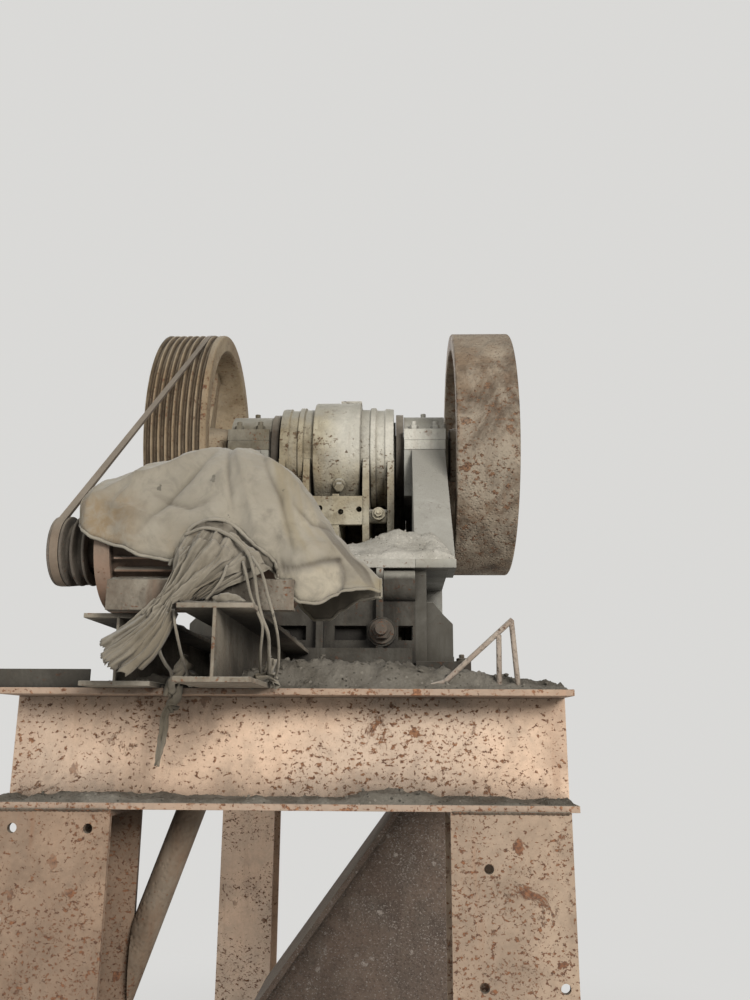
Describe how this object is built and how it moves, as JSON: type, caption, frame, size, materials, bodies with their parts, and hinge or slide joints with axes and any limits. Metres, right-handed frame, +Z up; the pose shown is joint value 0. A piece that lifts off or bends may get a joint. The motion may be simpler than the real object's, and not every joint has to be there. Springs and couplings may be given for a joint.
{
  "type": "jaw crusher",
  "caption": "Single toggle jaw crusher with flywheel, grooved sheave, belt drive and a motor under a tarp, on a tall welded steel stand.",
  "frame": {"origin": "on the ground, in the middle of the anchor bolt holes of the stand", "axes": "+X along the eccentric shaft to the flywheel, +Y from the toggle and motor side to the feed side, +Z up"},
  "size_m": [1.4484, 3.177, 3.1109],
  "materials": {
    "stand_paint": "faded cream paint with rust specks",
    "frame_paint": "grey paint under stone dust",
    "dusty_steel": "dusty",
    "rusty_steel": "rusty and pitted",
    "bare_steel": "worn",
    "motor_paint": "old red brown paint",
    "belt_rubber": "dusty rubber",
    "tarp_cloth": "dusty coated cloth",
    "sack_cloth": "torn sacking"
  },
  "bodies": {
    "stand": {"column_front_left": "stand_paint", "column_front_right": "stand_paint", "column_rear_left": "stand_paint", "column_rear_right": "stand_paint", "front_beam": "stand_paint", "rear_beam": "stand_paint", "side_beams": "stand_paint", "cross_beams": "stand_paint", "packing_rails": "stand_paint", "side_wall_left": "frame_paint", "side_wall_right": "frame_paint", "rear_wall": "frame_paint", "front_wall": "frame_paint", "base_flanges": "frame_paint", "cheek_plates": "bare_steel", "fixed_jaw": "bare_steel", "bearing_housings": "dusty_steel", "bearing_caps": "dusty_steel", "bearing_covers": "dusty_steel", "toggle_block": "dusty_steel", "toggle_plate": "rusty_steel", "tension_rods": "rusty_steel", "motor_beams": "stand_paint", "motor_channel": "rusty_steel", "motor_body": "motor_paint", "motor_fan_cover": "motor_paint", "drive_belt": "belt_rubber", "discharge_chute": "dusty_steel", "chute_brace": "rusty_steel", "angle_bar": "rusty_steel", "bent_rod": "rusty_steel", "tarp": "tarp_cloth", "rag_bundle": "sack_cloth"},
    "shaft": {"eccentric_shaft": "bare_steel", "sheave": "dusty_steel", "flywheel": "rusty_steel", "shaft_end_caps": "bare_steel"},
    "pitman": {"pitman": "dusty_steel", "swing_jaw": "bare_steel", "jaw_wedge": "rusty_steel"},
    "rotor": {"motor_shaft": "bare_steel", "motor_pulley": "bare_steel"}
  },
  "joints": [
    {"name": "shaft_spin", "type": "hinge", "parent": "stand", "child": "shaft", "pos_m": [0, 0.22, 2.61], "axis": [1, 0, 0], "continuous": true},
    {"name": "pitman_swing", "type": "hinge", "parent": "shaft", "child": "pitman", "pos_m": [0, 0.22, 2.598], "axis": [1, 0, 0], "continuous": true},
    {"name": "motor_spin", "type": "hinge", "parent": "stand", "child": "rotor", "pos_m": [-0.5, -1.37, 1.89], "axis": [1, 0, 0], "continuous": true}
  ],
  "couplings": [
    {"joint": "pitman_swing", "follows": "shaft_spin", "ratio": -1},
    {"joint": "motor_spin", "follows": "shaft_spin", "ratio": 6.676}
  ]
}
